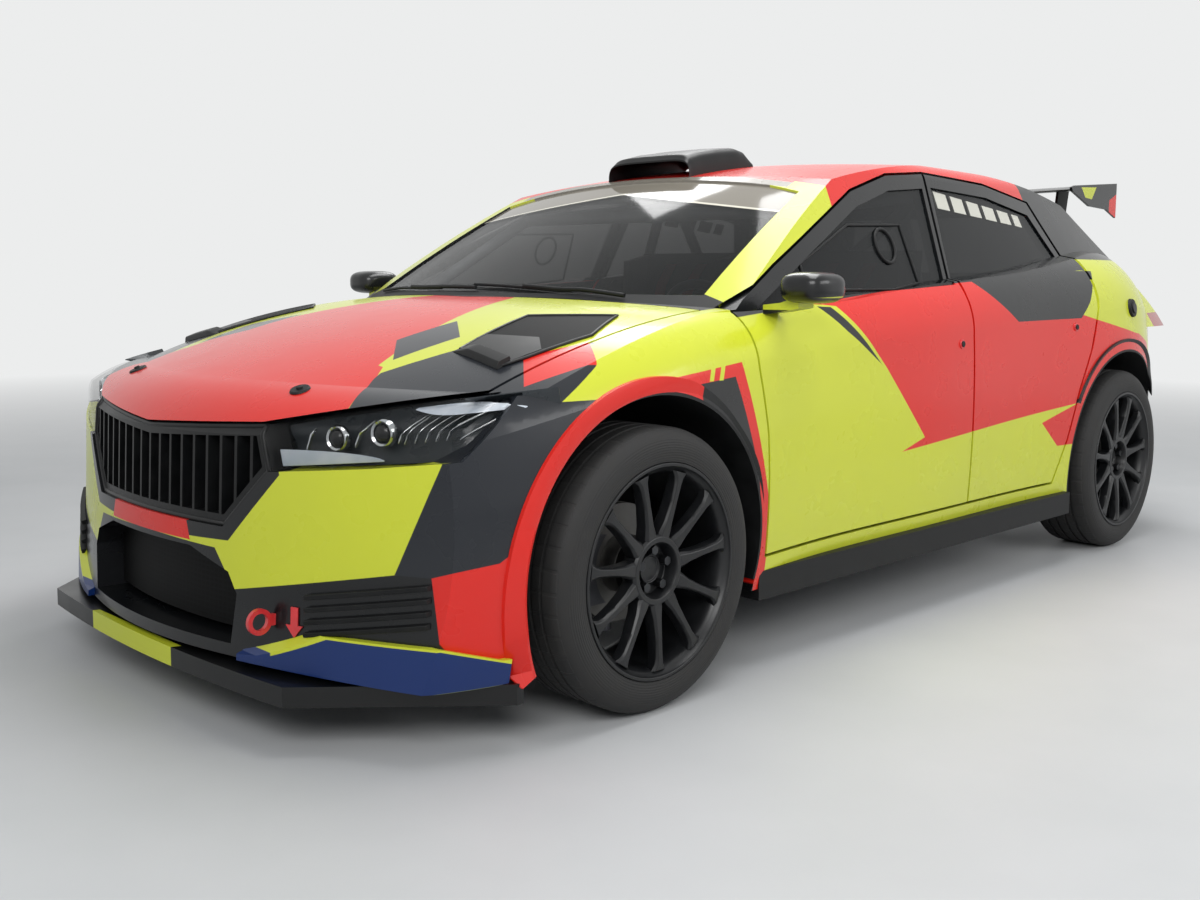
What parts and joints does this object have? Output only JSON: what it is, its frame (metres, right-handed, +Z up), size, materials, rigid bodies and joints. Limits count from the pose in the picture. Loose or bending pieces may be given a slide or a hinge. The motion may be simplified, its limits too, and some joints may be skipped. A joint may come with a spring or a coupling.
{
  "type": "rally car",
  "caption": "Five-door hatchback rally car with opening doors, bonnet and tailgate, steered front wheels, rear wing, roof scoop and roll cage.",
  "frame": {"origin": "on the ground under the middle of the car's length and width", "axes": "+X forward, +Y to the car's left, +Z up"},
  "size_m": [4.108, 1.9676, 1.434],
  "materials": {
    "paint_red": "gloss wrap",
    "paint_green": "gloss wrap",
    "glass": "dark tinted",
    "lens": "clear",
    "red_lens": "gloss",
    "black_plastic": "matt",
    "gloss_black": "gloss",
    "underbody": "satin",
    "iron": "satin",
    "rim": "satin",
    "tyre": "matt",
    "steel": "satin",
    "alloy": "cast",
    "suede": "suede",
    "fabric": "woven",
    "cage_paint": "gloss",
    "tow_red": "gloss"
  },
  "bodies": {
    "car": {"roof_panel": "paint_red", "front_fenders": "paint_red", "front_bumper": "paint_green", "rear_bumper": "paint_green", "body_sides": "paint_green", "windscreen": "glass", "headlamp_lenses": "lens", "tail_lamps": "red_lens", "scuttle": "black_plastic", "arch_liners": "black_plastic", "headlamp_bowls": "black_plastic", "grille": "black_plastic", "intake_mesh": "black_plastic", "splitter": "black_plastic", "side_skirts": "black_plastic", "dashboard": "black_plastic", "roof_scoop": "gloss_black", "floor_pan": "underbody", "front_suspension": "steel", "rear_suspension": "steel", "engine_block": "alloy", "radiator": "alloy", "bucket_chairs": "fabric", "roll_cage": "cage_paint", "tow_eyes": "tow_red"},
    "door_front_left": {"door_front_left_panel": "paint_green", "door_front_left_window": "glass", "door_front_left_mirror": "gloss_black"},
    "door_rear_left": {"door_rear_left_panel": "paint_red", "door_rear_left_window": "glass"},
    "knuckle_left": {"knuckle_left": "iron"},
    "wheel_front_left": {"wheel_front_left_rim": "rim", "wheel_front_left_tyre": "tyre"},
    "wheel_rear_left": {"wheel_rear_left_rim": "rim", "wheel_rear_left_tyre": "tyre"},
    "door_front_right": {"door_front_right_panel": "paint_green", "door_front_right_window": "glass", "door_front_right_mirror": "gloss_black"},
    "door_rear_right": {"door_rear_right_panel": "paint_red", "door_rear_right_window": "glass"},
    "knuckle_right": {"knuckle_right": "iron"},
    "wheel_front_right": {"wheel_front_right_rim": "rim", "wheel_front_right_tyre": "tyre"},
    "wheel_rear_right": {"wheel_rear_right_rim": "rim", "wheel_rear_right_tyre": "tyre"},
    "bonnet": {"bonnet_panel": "paint_red"},
    "tailgate": {"tailgate_panel": "paint_green", "rear_window": "glass", "rear_wing": "gloss_black"},
    "steering_wheel": {"steering_wheel": "suede"}
  },
  "joints": [
    {"name": "door_front_left_hinge", "type": "hinge", "parent": "car", "child": "door_front_left", "pos_m": [0.868, 0.886, 0.6], "axis": [0, 0, -1], "range_deg": [0, 65]},
    {"name": "door_rear_left_hinge", "type": "hinge", "parent": "car", "child": "door_rear_left", "pos_m": [-0.236, 0.875, 0.6], "axis": [0, 0, -1], "range_deg": [0, 65]},
    {"name": "steer_left", "type": "hinge", "parent": "car", "child": "knuckle_left", "pos_m": [1.258, 0.716, 0.19], "axis": [0, -0.1309, 0.9914], "range_deg": [-30, 30]},
    {"name": "wheel_front_left_spin", "type": "hinge", "parent": "knuckle_left", "child": "wheel_front_left", "pos_m": [1.258, 0.8, 0.325], "axis": [0, 1, 0], "continuous": true},
    {"name": "wheel_rear_left_spin", "type": "hinge", "parent": "car", "child": "wheel_rear_left", "pos_m": [-1.306, 0.8, 0.325], "axis": [0, 1, 0], "continuous": true},
    {"name": "door_front_right_hinge", "type": "hinge", "parent": "car", "child": "door_front_right", "pos_m": [0.868, -0.886, 0.6], "axis": [0, 0, 1], "range_deg": [0, 65]},
    {"name": "door_rear_right_hinge", "type": "hinge", "parent": "car", "child": "door_rear_right", "pos_m": [-0.236, -0.875, 0.6], "axis": [0, 0, 1], "range_deg": [0, 65]},
    {"name": "steer_right", "type": "hinge", "parent": "car", "child": "knuckle_right", "pos_m": [1.258, -0.716, 0.19], "axis": [0, 0.1309, 0.9914], "range_deg": [-30, 30]},
    {"name": "wheel_front_right_spin", "type": "hinge", "parent": "knuckle_right", "child": "wheel_front_right", "pos_m": [1.258, -0.8, 0.325], "axis": [0, 1, 0], "continuous": true},
    {"name": "wheel_rear_right_spin", "type": "hinge", "parent": "car", "child": "wheel_rear_right", "pos_m": [-1.306, -0.8, 0.325], "axis": [0, 1, 0], "continuous": true},
    {"name": "bonnet_hinge", "type": "hinge", "parent": "car", "child": "bonnet", "pos_m": [0.928, 0, 0.905], "axis": [0, -1, 0], "range_deg": [0, 50]},
    {"name": "tailgate_hinge", "type": "hinge", "parent": "car", "child": "tailgate", "pos_m": [-1.392, 0, 1.297], "axis": [0, 1, 0], "range_deg": [0, 75]},
    {"name": "steering_wheel_turn", "type": "hinge", "parent": "car", "child": "steering_wheel", "pos_m": [0.47, 0.36, 0.792], "axis": [-0.9272, 0, 0.3746], "range_deg": [-300, 300]}
  ],
  "couplings": [
    {"joint": "steer_right", "follows": "steer_left", "ratio": 1},
    {"joint": "steering_wheel_turn", "follows": "steer_left", "ratio": 9}
  ]
}
